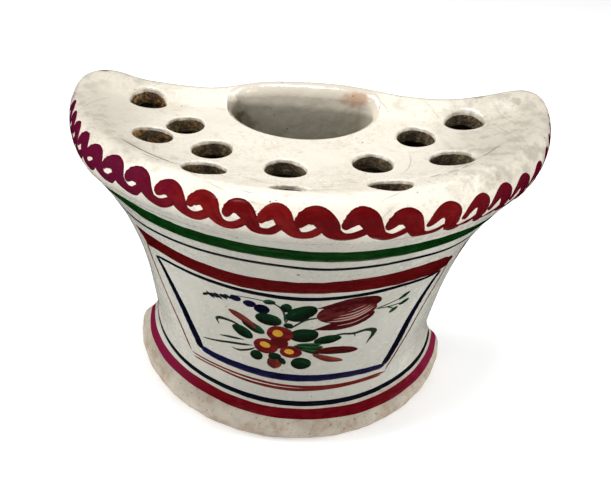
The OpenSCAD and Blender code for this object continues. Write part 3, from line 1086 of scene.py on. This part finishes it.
@dataclass
class Bouquet:
    """The flower spray in the panel, dab by dab.

    Dabs are given as place round the front in millimetres of arc and height, at their two ends,
    then their width and tone. Stems and curled lines list their points with a width each.
    """

    round_r: float = 74.0
    leaves: tuple = (
        (-9.6, 80.2, -5.0, 80.8, 3.4, 0.5), (-0.9, 71.4, 9.8, 79.6, 9.0, 0.1),
        (-13.0, 70.2, -2.6, 68.2, 8.0, 0.2), (-18.6, 66.6, -9.4, 60.4, 5.4, 0.5),
        (-23.0, 60.9, -14.6, 55.8, 6.8, 0.1), (-15.6, 46.2, -10.0, 45.8, 6.6, 0.0),
        (2.2, 43.9, 11.0, 42.6, 8.4, 0.1), (0.6, 60.9, 12.4, 62.8, 9.2, 0.1),
        (11.0, 57.4, 22.4, 59.4, 5.6, 0.2), (3.0, 54.6, 15.2, 54.0, 3.8, 0.9),
        (6.0, 52.8, 14.4, 50.2, 3.4, 1.0), (4.2, 55.6, 14.6, 56.2, 2.6, 0.7),
        (-1.8, 67.4, 2.0, 66.4, 3.6, 0.0), (-3.2, 78.9, 1.0, 78.0, 6.2, 0.1),
        (43.0, 77.2, 47.0, 80.6, 3.0, 0.5), (44.4, 73.4, 48.8, 75.4, 3.0, 0.4),
        (41.0, 69.8, 44.2, 72.4, 2.8, 0.5),
    )
    berries: tuple = (
        (-22.6, 78.4, -18.0, 79.2, 4.2, 0.6), (-17.4, 77.2, -12.4, 78.2, 4.6, 0.6),
        (-13.2, 74.8, -7.2, 75.6, 6.4, 0.1),
    )
    chain: tuple = (
        (-34.8, 74.2, -31.4, 76.6, 1.6, 0.7), (-32.6, 77.6, -29.2, 74.8, 2.0, 0.5),
        (-30.8, 77.4, -27.6, 75.8, 2.2, 0.5), (-29.0, 78.6, -25.8, 75.8, 2.2, 0.4),
        (-26.8, 78.8, -23.6, 76.6, 2.6, 0.4), (-24.8, 79.6, -22.0, 77.8, 2.4, 0.4),
    )
    stems: tuple = (
        (
            (-22.0, 80.6, 0.4), (-12.6, 81.2, 0.6), (-5.0, 79.6, 0.8), (-1.9, 75.0, 1.0),
            (-1.2, 68.4, 1.1),
        ),
        (
            (-29.4, 58.8, 2.4), (-30.2, 61.8, 2.4), (-27.5, 63.2, 2.0), (-22.0, 62.8, 1.5),
            (-15.8, 59.6, 0.9),
        ),
        ((-39.4, 45.0, 0.6), (-32.0, 47.0, 1.2), (-24.0, 49.4, 1.5), (-14.2, 51.4, 1.3)),
        ((-29.9, 51.6, 1.5), (-24.5, 52.8, 1.5), (-18.0, 53.6, 1.0)),
        ((-24.4, 46.6, 0.7), (-21.0, 46.2, 1.3), (-16.4, 48.0, 1.3), (-13.0, 50.6, 1.1)),
        ((1.0, 65.2, 1.0), (3.8, 68.6, 1.1), (7.2, 71.6, 1.2), (12.6, 73.0, 1.1)),
        ((-1.0, 68.4, 1.5), (0.2, 72.0, 1.3), (3.0, 75.6, 1.8)),
        (
            (12.0, 58.6, 0.7), (21.0, 61.4, 1.2), (27.0, 61.0, 1.6), (33.0, 61.8, 2.0),
            (37.0, 59.4, 2.8), (34.8, 52.2, 1.3),
        ),
        ((27.6, 61.2, 1.4), (28.4, 58.6, 0.8)),
        ((33.6, 75.2, 0.6), (38.0, 76.2, 0.8), (44.4, 78.4, 0.6)),
        ((33.6, 75.0, 0.6), (40.0, 74.4, 0.8), (46.0, 74.4, 0.6)),
        ((38.2, 74.4, 0.5), (41.0, 73.0, 0.7), (42.4, 71.4, 0.6)),
    )
    petals: tuple = (
        (-8.4, 60.6, 2.4, 61.0, 10.6, 0.5), (-14.0, 53.4, -3.4, 52.8, 9.8, 0.6),
        (-2.8, 50.4, 6.6, 50.2, 8.0, 0.6), (-6.8, 57.0, 0.6, 55.2, 7.4, 0.2),
    )
    hearts: tuple = (
        (-6.0, 61.4, -1.8, 61.8, 5.6, 0.4), (-11.2, 54.2, -6.8, 53.2, 4.6, 0.6),
        (-0.8, 51.2, 3.2, 50.6, 4.2, 0.5),
    )
    buds: tuple = (
        (-24.0, 70.6, -12.8, 62.8, 4.2, 0.8), (-4.9, 46.8, -5.0, 39.0, 6.6, 0.7),
        (11.6, 51.4, 31.2, 49.8, 5.0, 0.1), (11.2, 49.6, 25.2, 44.0, 3.6, 1.0),
    )
    cup: tuple = ((-7.6, 46.6, -2.0, 46.8, 4.8, 0.0), (-2.6, 46.6, -0.4, 42.6, 3.0, 0.0))
    tulip: tuple = ((10.4, 79.0, 34.4, 80.6, 10.6, 0.2), (9.6, 65.0, 33.6, 73.2, 9.6, 0.2))
    tulip_body: tuple = ((10.6, 73.2, 33.6, 76.6, 14.6, 0.5),)
    tulip_lights: tuple = (
        ((15.0, 70.4, 0.7), (22.0, 70.8, 1.3), (28.0, 73.0, 1.5), (32.4, 77.4, 0.7)),
        ((17.0, 71.8, 0.6), (23.0, 72.6, 1.5), (28.0, 74.8, 1.7), (31.6, 78.2, 0.7)),
        ((19.0, 73.6, 0.5), (24.0, 74.8, 1.2), (28.0, 76.8, 1.4), (30.6, 79.0, 0.6)),
        ((22.0, 76.0, 0.4), (25.0, 77.4, 0.8), (28.6, 79.4, 0.5)),
        ((19.0, 67.6, 0.4), (26.0, 68.8, 0.8), (31.4, 72.4, 0.5)),
    )

    def degrees(self, points: tuple) -> list[tuple[float, ...]]:
        """The same points with the arc in degrees."""
        return [(math.degrees(p[0] / self.round_r), *p[1:]) for p in points]

    def dab(self, brush: Brush, dab: tuple, seed: int) -> Skin:
        """One dab from one end to the other, bowed a little."""
        a, low, b, high, width, tone = dab
        bow = 0.04 * math.hypot(b - a, high - low) * (-1) ** seed
        middle = ((a + b) / 2, (low + high) / 2 + bow, width)
        points = self.degrees(((a, low, width), middle, (b, high, width)))
        return brush.stroke(points, tone, seed)

    def dabs(self, brush: Brush, table: tuple, seed: int) -> Skin:
        """All the dabs of a table as one skin."""
        return Skin.joined([self.dab(brush, d, seed + n) for n, d in enumerate(table)])

    def lines(self, brush: Brush, table: tuple, seed: int) -> Skin:
        """All the drawn lines of a table as one skin."""
        return Skin.joined(
            [brush.stroke(self.degrees(line), 0.3, seed + n) for n, line in enumerate(table)]
        )

    def build(self, looks: Looks) -> None:
        """Paints from the back of the spray to the front."""
        leaf = Brush(End.OVAL, step=0.5)
        over = Brush(End.OVAL, layer=1, step=0.5)
        above = Brush(End.OVAL, layer=3, step=0.4)
        lines = Brush(End.POINTED, proud=0.12, columns=7, step=0.6)
        self.lines(lines, self.stems, 100).piece("spray_stems", looks.stem, "green_enamel")
        self.dabs(leaf, self.leaves, 120).piece("spray_leaves", looks.leaf, "green_enamel")
        self.dabs(leaf, self.berries, 150).piece("spray_berries", looks.blue, "blue_enamel")
        self.dabs(Brush(End.LEAF), self.chain, 160).piece("berry_chain", looks.ink, "blue_enamel")
        self.dabs(over, self.petals, 170).piece("spray_flowers", looks.scarlet, "crimson_enamel")
        self.dabs(above, self.hearts, 180).piece("flower_hearts", looks.yellow, "yellow_enamel")
        self.dabs(Brush(End.OVAL, layer=1), self.buds, 190).piece(
            "spray_buds", looks.brick, "crimson_enamel"
        )
        self.dabs(Brush(End.OVAL, layer=2), self.cup, 200).piece(
            "bud_cup", looks.leaf, "green_enamel"
        )
        self.dabs(Brush(End.PETAL, layer=1, columns=15), self.tulip, 210).piece(
            "tulip_petals", looks.tulip, "crimson_enamel"
        )
        self.dabs(Brush(End.OVAL, layer=2, columns=15), self.tulip_body, 212).piece(
            "tulip_body", looks.tulip, "crimson_enamel"
        )
        self.lines(Brush(End.POINTED, layer=3, columns=7), self.tulip_lights, 214).piece(
            "tulip_lights", looks.blush, "crimson_enamel"
        )


# ---------------------------------------------------------------- finishes


Colour = tuple[float, float, float]


@dataclass(frozen=True)
class TinGlaze:
    """Opaque white tin glaze, crazed, specked and rubbed, with bare clay in the stem holes."""

    # the top's light warm white and the wall's grey: painted light and painted shade from above
    lit_top_white: Colour = (0.86, 0.80, 0.69)
    shaded_wall_grey: Colour = (0.56, 0.55, 0.49)
    dulled: Colour = (0.60, 0.55, 0.46)
    stain: Colour = (0.42, 0.36, 0.26)
    speck: Colour = (0.10, 0.07, 0.05)
    clay_dark: Colour = (0.062, 0.042, 0.022)
    clay_light: Colour = (0.36, 0.27, 0.16)
    rough: float = 0.22
    grooves: tuple = (
        (90.0, 0.55, -66, -38, 0.85), (92.2, 0.45, -60, -46, 0.5), (88.6, 0.5, -44, -20, 0.7),
        (88.8, 0.45, 38, 62, 0.7), (86.6, 0.5, 50, 76, 0.5), (90.2, 0.4, 44, 58, 0.4),
        (99.0, 3.0, 60, 94, 0.22),
    )

    def finish(self) -> bpy.types.Material:
        """Lit warm white on top and grey below as painted light and shade from above, darker at the
        front's middle and grey round the hole lips as painted shade, orange in the left holes as
        painted light, with clouds, drips, specks, scratches and fine crazing.
        """
        t = Tree("tin_glaze")
        z, x = t.axis("Z"), t.axis("X")
        depth = t.value("depth")
        clouds = t.noise(26, 3, 0.55)
        fine = t.noise(5, 4, 0.6)
        drips = t.noise(1, 3, 0.5, t.stretched(0.16, 0.16, 0.03))
        level = (z + clouds * 10 - 5).rise(121, 133)
        shade = (drips * 0.55 + clouds * 0.45).rise(0.35, 0.68)
        # the wall's two greys are far darker than the top's white: painted shade on the wall
        body = t.blend(shade, (0.47, 0.47, 0.42), self.shaded_wall_grey)
        # darker across the middle of the front wall: painted shade against the light thrown up from
        # the floor
        painted_centre_shade = (x * x * 0.001 + clouds * 1.5 - 0.75).rise(3.4, 0.2)
        body = t.blend(painted_centre_shade * 0.6, body, (0.40, 0.39, 0.34))
        lines = t.noise(1, 2, 0.6, t.stretched(0.03, 0.03, 1.1)).rise(0.52, 0.66)
        neck = (z - 114).rise(0, 4) * (z - 129).rise(0, -3)
        body = t.blend(lines * neck * 0.5, body, (0.50, 0.36, 0.33))
        # the top blends over to a light warm white: painted light on the top
        colour = t.blend(level, body, self.lit_top_white)
        dull = (x * x * 0.001 + clouds * 4 - 2).rise(1.6, 5.5) * level
        colour = t.blend(dull * 0.8, colour, self.dulled)
        grubby = (fine * 0.5 + t.noise(12, 4, 0.7) * 0.5).rise(0.5, 0.68)
        colour = t.blend(grubby * 0.42, colour, self.stain)
        mottle = t.noise(1.7, 4, 0.8).rise(0.48, 0.68) * t.noise(18, 2).rise(0.3, 0.6)
        colour = t.blend(mottle * 0.45, colour, self.stain)
        scuff = (z - 136.5).rise(-3, 1.0) * (x * x * 0.001).rise(1.2, 4.0) * fine.rise(0.45, 0.62)
        colour = t.blend(scuff * 0.3, colour, (0.28, 0.27, 0.23))
        flat = t.stretched(1, 1, 0)
        swirl = t.distance(flat, (0.0, 0.0, 0.0))
        ring = t.distance(flat, (0.0, AXIS_Y, 0.0))
        around = t.out("ShaderNodeCombineXYZ", {}, {"X": swirl * 0.9, "Y": x * 0.045})
        scratch = t.noise(1, 3, 0.6, around).rise(0.6, 0.72) * (z - 133.5).rise(0, 1.5)
        colour = t.blend(scratch * 0.65, colour, (0.34, 0.29, 0.22))
        for radius, width, start, end, strength in self.grooves:
            off = (ring - radius + clouds * 1.6 - 0.8) / width
            share = (off * off).rise(1.0, 0.2) * strength * fine.rise(0.34, 0.52)
            share = share * (x - start).rise(0, 7) * (x - end).rise(0, -7) * (z - 132).rise(0, 1.5)
            colour = t.blend(share, colour, (0.16, 0.13, 0.09))
        marks = t.near((-86.0, 47.5, 139.5), 3.6) + t.near((1.0, 49.0, 141.5), 2.4)
        faint = t.near((70.0, 46.0, 142.0), 2.4, 1.6) + t.near((84.0, 40.0, 144.0), 2.6, 1.6)
        marks = marks + faint * 0.4
        colour = t.blend(marks * 0.9, colour, (0.10, 0.065, 0.04))
        pimple = t.near((-1.2, -24.4, 87.2), 1.4) + t.near((2.6, -32.8, 101.0), 0.9)
        colour = t.blend(pimple * 0.85, colour, (0.06, 0.02, 0.02))
        # grey where the deck drops into the stem holes: painted shade at the hole lips
        painted_hole_shade = depth.rise(0.01, 0.8) * fine.rise(0.3, 0.6)
        colour = t.blend(painted_hole_shade * 0.75, colour, (0.22, 0.19, 0.14))
        dots = t.cells(3.4)
        sizes = t.noise(9, 2).rise(0.45, 0.7) * 0.13
        spots = (sizes - dots).rise(0.0, 0.03)
        colour = t.blend(spots * 0.85, colour, self.speck)
        craze = t.cells(3.1, "DISTANCE_TO_EDGE").rise(0.022, 0.0) * clouds.rise(0.45, 0.7)
        colour = t.blend(craze * 0.16, colour, self.stain)
        bare = (depth + fine * 1.2 - 0.6).rise(1.0, 1.7)
        grain = t.noise(1.1, 4, 0.65)
        warmth = t.noise(3.2, 3, 0.6).rise(0.38, 0.66)
        clay = t.blend(warmth * grain.rise(0.3, 0.75), self.clay_dark, self.clay_light)
        # orange over the bare clay of the holes on the left: painted light falling into them
        painted_hole_light = (-x - 10).rise(10, 60) * t.noise(2.2, 3, 0.6).rise(0.45, 0.62)
        clay = t.blend(painted_hole_light * 0.8, clay, (0.50, 0.24, 0.05))
        colour = t.blend(bare, colour, clay)
        wavy = t.bump(t.noise(7, 2, 0.4), 0.22)
        pores = t.bump(grain * bare * 6 + spots * -0.4 + fine * 0.12, 0.18, wavy)
        rough = self.rough + grubby * 0.22 + scratch * 0.15 + clouds * 0.08
        return t.finish(
            Base_Color=colour,
            Roughness=rough * (1 - bare) + bare * 0.85,
            Normal=pores,
            Coat_Weight=(1 - bare) * 0.25,
            Coat_Roughness=0.12,
        )


@dataclass(frozen=True)
class WellGlaze:
    """The well's thicker grey glaze, darkening to olive and brown low down and at the left as
    painted shade in the well's depth and its left corner.
    """

    pale: Colour = (0.37, 0.34, 0.27)
    # a dark olive for painted shade low down in the well and at its left
    olive_shade: Colour = (0.12, 0.10, 0.055)
    lip: Colour = (0.66, 0.60, 0.50)
    rust: Colour = (0.42, 0.17, 0.05)

    def finish(self) -> bpy.types.Material:
        """Lip colour at the top, grey below it, running into olive with painted shade down the well
        and in its left corner.
        """
        t = Tree("well_glaze")
        z, x = t.axis("Z"), t.axis("X")
        cloud = t.noise(11, 4, 0.6)
        runs = t.noise(1, 3, 0.5, t.stretched(0.22, 0.22, 0.05))
        # darker towards the bottom and the left of the well: painted shade in its depth
        painted_depth_shade = (132 - z + cloud * 26 - 13 - x * 0.35 + runs * 14 - 7).rise(14, 58)
        colour = t.blend(painted_depth_shade, self.pale, self.olive_shade)
        lip = (z + cloud * 3 - 1.5).rise(130.2, 133.6)
        colour = t.blend(lip, colour, self.lip)
        ring = (x - 19) * (x - 19) * 0.02 + (z - 137) * (z - 137) * 0.08
        spot = (ring + t.noise(3, 3) * 1.6).rise(1.9, 0.9)
        colour = t.blend(spot * 0.55, colour, self.rust)
        # a dark patch in the well's left corner: painted shade in the crease
        crease = t.near((-30.0, 36.0, 128.0), 9.0, 0.9) + t.near((-29.0, 40.0, 120.0), 10.0, 0.9)
        colour = t.blend(crease * 0.6, colour, (0.10, 0.08, 0.05))
        specks = (0.085 - t.cells(5.0)).rise(0.0, 0.03)
        colour = t.blend(specks * 0.8, colour, (0.06, 0.04, 0.02))
        surface = t.bump(t.noise(6, 2, 0.4) + runs * 0.6, 0.5)
        return t.finish(
            Base_Color=colour,
            Roughness=0.14 + cloud * 0.14,
            Normal=surface,
            Coat_Weight=0.35 + cloud * 0.2,
            Coat_Roughness=0.06,
        )


@dataclass(frozen=True)
class Earthenware:
    """Bare fired clay, with remains of glaze where it is seen."""

    name: str
    light: Colour
    dark: Colour
    glazed: float = 0.0

    def finish(self) -> bpy.types.Material:
        """Grainy clay, blotched, with pits; the glazed share covers it in pale patches."""
        t = Tree(self.name)
        grain, blotch = t.noise(0.9, 4, 0.7), t.noise(9, 4, 0.6)
        colour = t.blend(blotch.rise(0.3, 0.7), self.dark, self.light)
        colour = t.blend(grain.rise(0.45, 0.75) * 0.35, colour, self.dark)
        z = t.axis("Z")
        patch = t.noise(6, 4, 0.65) + z * 0.012 - 0.05
        patch = patch.rise(0.62 - self.glazed, 0.72 - self.glazed)
        colour = t.blend(patch * min(1.0, self.glazed * 3), colour, (0.50, 0.48, 0.42))
        pits = (0.16 - t.cells(1.9)).rise(0.0, 0.06)
        chips = (0.12 - t.cells(6.5)).rise(0.0, 0.03)
        dark = t.blend(pits * 0.6 + chips * 0.4, colour, (0.07, 0.045, 0.03))
        surface = t.bump(t.noise(2.4, 4, 0.6) + grain * 0.3 - pits * 0.6, 0.55)
        return t.finish(
            Base_Color=dark,
            Roughness=0.9 - patch * 0.45 * min(1.0, self.glazed * 3),
            Normal=surface,
        )


@dataclass(frozen=True)
class Enamel:
    """Brushed enamel colour: full where the brush was wet, streaked and thin where it dried."""

    name: str
    full: Colour
    light: Colour
    under: Colour = (0.55, 0.52, 0.46)
    left: Colour | None = None
    right: Colour | None = None
    streaks: float = 0.6
    sheen: float = 0.14
    middle: float = 0.0
    shaded: float = 0.0

    def finish(self) -> bpy.types.Material:
        """Streaks run along each stroke; the edge dries darker; the ends let the glaze through."""
        t = Tree(self.name)
        run, side, tone, thin = (t.value(n) for n in ("run", "side", "tone", "thin"))
        x = t.axis("X")
        place = {"X": run * 0.14, "Y": side * 2.4, "Z": tone * 31.0 + run * 0.01}
        where = t.out("ShaderNodeCombineXYZ", {}, place)
        hairs = t.noise(1, 3, 0.6, where)
        pool = t.noise(4.5, 3, 0.55)
        share = (hairs * 0.6 + pool * 0.4 + tone * 0.3 - 0.15).rise(0.38, 0.72) * self.streaks
        colour = t.blend(share, self.full, self.light)
        if self.left is not None:
            colour = t.blend((x + pool * 24 - 12).rise(-28, -62), colour, self.left)
        if self.right is not None:
            colour = t.blend((x + pool * 24 - 12).rise(48, 76), colour, self.right)
        if self.middle > 0:
            core = (1 - side * side).rise(0.35, 1.0) * hairs.rise(0.32, 0.62) * tone.rise(0.5, 1.0)
            colour = t.blend(core * self.middle, colour, (0.62, 0.50, 0.44))
        if self.shaded > 0:
            low = (side + hairs * 0.9 - 0.45).rise(0.5, -0.5)
            colour = t.blend(low * self.shaded, colour, (0.004, 0.005, 0.003))
        rim = (side * side).rise(0.55, 1.0)
        deeper = t.blend(rim * 0.35, colour, tuple(c * 0.45 for c in self.full))
        gaps = (thin * 1.25 + hairs * 0.5 - 0.42).rise(0.1, 0.9) * thin.rise(0.0, 0.2)
        worn = t.blend(gaps * 0.9, deeper, self.under)
        ridges = t.bump(hairs * 0.5 + pool * 0.5, 0.12, t.bump(t.noise(7, 2, 0.4), 0.2))
        return t.finish(
            Base_Color=worn,
            Roughness=self.sheen + pool * 0.12,
            Normal=ridges,
            Specular_IOR_Level=0.3,
        )


@dataclass
class Looks:
    """Every finish of the pot, made once."""

    glaze: bpy.types.Material = field(init=False)
    well: bpy.types.Material = field(init=False)
    foot: bpy.types.Material = field(init=False)
    inside: bpy.types.Material = field(init=False)
    wave: bpy.types.Material = field(init=False)
    rose: bpy.types.Material = field(init=False)
    oxblood: bpy.types.Material = field(init=False)
    rust: bpy.types.Material = field(init=False)
    green: bpy.types.Material = field(init=False)
    leaf: bpy.types.Material = field(init=False)
    stem: bpy.types.Material = field(init=False)
    blue: bpy.types.Material = field(init=False)
    ink: bpy.types.Material = field(init=False)
    scarlet: bpy.types.Material = field(init=False)
    brick: bpy.types.Material = field(init=False)
    yellow: bpy.types.Material = field(init=False)
    blush: bpy.types.Material = field(init=False)
    tulip: bpy.types.Material = field(init=False)

    def __post_init__(self) -> None:
        """Mixes the glazes, the clays and the enamel colours."""
        self.glaze = TinGlaze().finish()
        self.well = WellGlaze().finish()
        self.foot = Earthenware("bare_foot", (0.50, 0.44, 0.36), (0.34, 0.26, 0.19), 0.12).finish()
        self.inside = Earthenware(
            "biscuit_inside", (0.24, 0.16, 0.10), (0.10, 0.065, 0.04)
        ).finish()
        self.wave = Enamel(
            "wave_crimson", (0.105, 0.002, 0.003), (0.24, 0.009, 0.009), (0.5, 0.46, 0.43),
            (0.085, 0.003, 0.020), (0.085, 0.002, 0.010),
        ).finish()
        self.rose = Enamel(
            "foot_rose", (0.10, 0.001, 0.004), (0.20, 0.006, 0.014), left=(0.17, 0.006, 0.035),
            right=(0.20, 0.012, 0.045),
        ).finish()
        self.oxblood = Enamel("oxblood", (0.07, 0.0015, 0.002), (0.15, 0.005, 0.006)).finish()
        self.rust = Enamel("rust_line", (0.10, 0.006, 0.005), (0.22, 0.032, 0.02)).finish()
        self.green = Enamel("band_green", (0.0015, 0.022, 0.002), (0.006, 0.075, 0.010)).finish()
        self.leaf = Enamel(
            "leaf_green", (0.003, 0.022, 0.007), (0.022, 0.11, 0.034), shaded=0.85
        ).finish()
        self.stem = Enamel("stem_green", (0.012, 0.022, 0.014), (0.05, 0.08, 0.04)).finish()
        self.blue = Enamel("frame_blue", (0.002, 0.002, 0.010), (0.008, 0.009, 0.06)).finish()
        self.ink = Enamel("ink_blue", (0.002, 0.003, 0.007), (0.012, 0.016, 0.03)).finish()
        self.scarlet = Enamel("flower_red", (0.075, 0.003, 0.004), (0.22, 0.014, 0.015)).finish()
        self.brick = Enamel(
            "bud_red", (0.06, 0.003, 0.003), (0.24, 0.045, 0.03), shaded=0.5
        ).finish()
        self.yellow = Enamel("heart_yellow", (0.42, 0.20, 0.012), (0.62, 0.40, 0.05)).finish()
        self.blush = Enamel("tulip_blush", (0.34, 0.20, 0.17), (0.52, 0.42, 0.37)).finish()
        self.tulip = Enamel(
            "tulip_red", (0.045, 0.002, 0.003), (0.13, 0.02, 0.020), middle=0.25, streaks=0.9
        ).finish()


# ---------------------------------------------------------------- studio


@dataclass(frozen=True)
class Studio:
    """Camera, soft lights and a plain pale floor."""

    azimuth: float = math.radians(0.195)
    elevation: float = math.radians(34.76)
    roll: float = math.radians(4.97)
    distance: float = 281.0
    target: tuple[float, float, float] = (4.2, -1.0, 89.5)
    lens: float = 41.2

    def camera(self) -> None:
        """Places the camera round its target, then rolls it about its own axis."""
        a, e = self.azimuth, self.elevation
        back = Vector((math.sin(a) * math.cos(e), -math.cos(a) * math.cos(e), math.sin(e)))
        right = Vector((math.cos(a), math.sin(a), 0.0))
        up = back.cross(right)
        side = right * math.cos(self.roll) + up * math.sin(self.roll)
        over = up * math.cos(self.roll) - right * math.sin(self.roll)
        data = bpy.data.cameras.new("camera")
        data.lens = self.lens
        data.clip_start = 0.01
        made = bpy.data.objects.new("camera", data)
        turn = Matrix((side, over, back)).transposed().to_4x4()
        place = (Vector(self.target) + back * self.distance) * MM
        made.matrix_world = Matrix.Translation(place) @ turn
        bpy.context.scene.collection.objects.link(made)
        bpy.context.scene.camera = made

    def softbox(
        self,
        name: str,
        place: tuple[float, float, float],
        size: tuple[float, float],
        power: float,
        shining: bool = True,
    ) -> None:
        """An area light at place, in metres, aimed at the pot; only a shining one is mirrored."""
        data = bpy.data.lights.new(name, "AREA")
        data.shape = "RECTANGLE"
        data.size, data.size_y = size
        data.energy = power
        made = bpy.data.objects.new(name, data)
        made.visible_glossy = shining
        aim = Vector((0, 0, 0.09)) - Vector(place)
        made.matrix_world = (
            Matrix.Translation(place) @ aim.to_track_quat("-Z", "Y").to_matrix().to_4x4()
        )
        bpy.context.scene.collection.objects.link(made)

    def floor(self) -> None:
        """A plain pale floor, hidden from glossy rays."""
        t = Tree("floor_paper")
        finish = t.finish(
            Base_Color=(0.9, 0.9, 0.9),
            Roughness=0.9,
            Emission_Color=(1, 1, 1, 1),
            Emission_Strength=0.3,
        )
        mesh = bpy.data.meshes.new("floor")
        edge = 3.0
        points = [(-edge, -edge, 0), (edge, -edge, 0), (edge, edge, 0), (-edge, edge, 0)]
        mesh.from_pydata(points, [], [(0, 1, 2, 3)])
        mesh.materials.append(finish)
        made = bpy.data.objects.new("floor", mesh)
        bpy.context.scene.collection.objects.link(made)
        made.visible_glossy = False

    def build(self) -> None:
        """Sets up the whole studio."""
        self.camera()
        self.floor()
        self.softbox("overhead", (-0.13, -0.12, 1.0), (0.36, 0.10), 5.0)
        self.softbox("left", (-1.15, -0.15, 0.5), (0.5, 0.6), 10.0, shining=False)
        self.softbox("right", (1.15, -0.1, 0.45), (0.5, 0.6), 10.0, shining=False)
        self.softbox("window", (-0.5, -0.75, 0.95), (0.10, 0.3), 0.9)
        bpy.context.scene.view_settings.view_transform = "Standard"
        world = bpy.data.worlds.new("room")
        bpy.context.scene.world = world
        world.use_nodes = True
        sky = world.node_tree.nodes["Background"]
        sky.inputs["Color"].default_value = (1, 1, 1, 1)
        sky.inputs["Strength"].default_value = 0.4
        world.cycles_visibility.glossy = False


def main() -> None:
    """Builds the pot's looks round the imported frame, piece by piece."""
    logging.basicConfig(level=logging.INFO, format="%(name)s %(message)s")
    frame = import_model()
    Studio().build()
    looks = Looks()
    well = Well()
    shell = ThrownShell()
    shell.foot(looks.foot)
    shell.front(looks.glaze)
    shell.roll(looks.glaze)
    shell.back(looks.glaze)
    well.build(looks.well)
    PiercedDeck(well).build(looks.glaze)
    for part in (Border(), WaveBand(), Panel(), Bouquet()):
        part.build(looks)
    carried = ("floor_slab", "floor_seam_coil", "left_seam_coil", "right_seam_coil", "well_floor")
    for name in carried:
        node = frame["nodes"][name]
        node.data.materials.clear()
        node.data.materials.append(looks.well if name == "well_floor" else looks.inside)


if __name__ == "__main__":
    main()
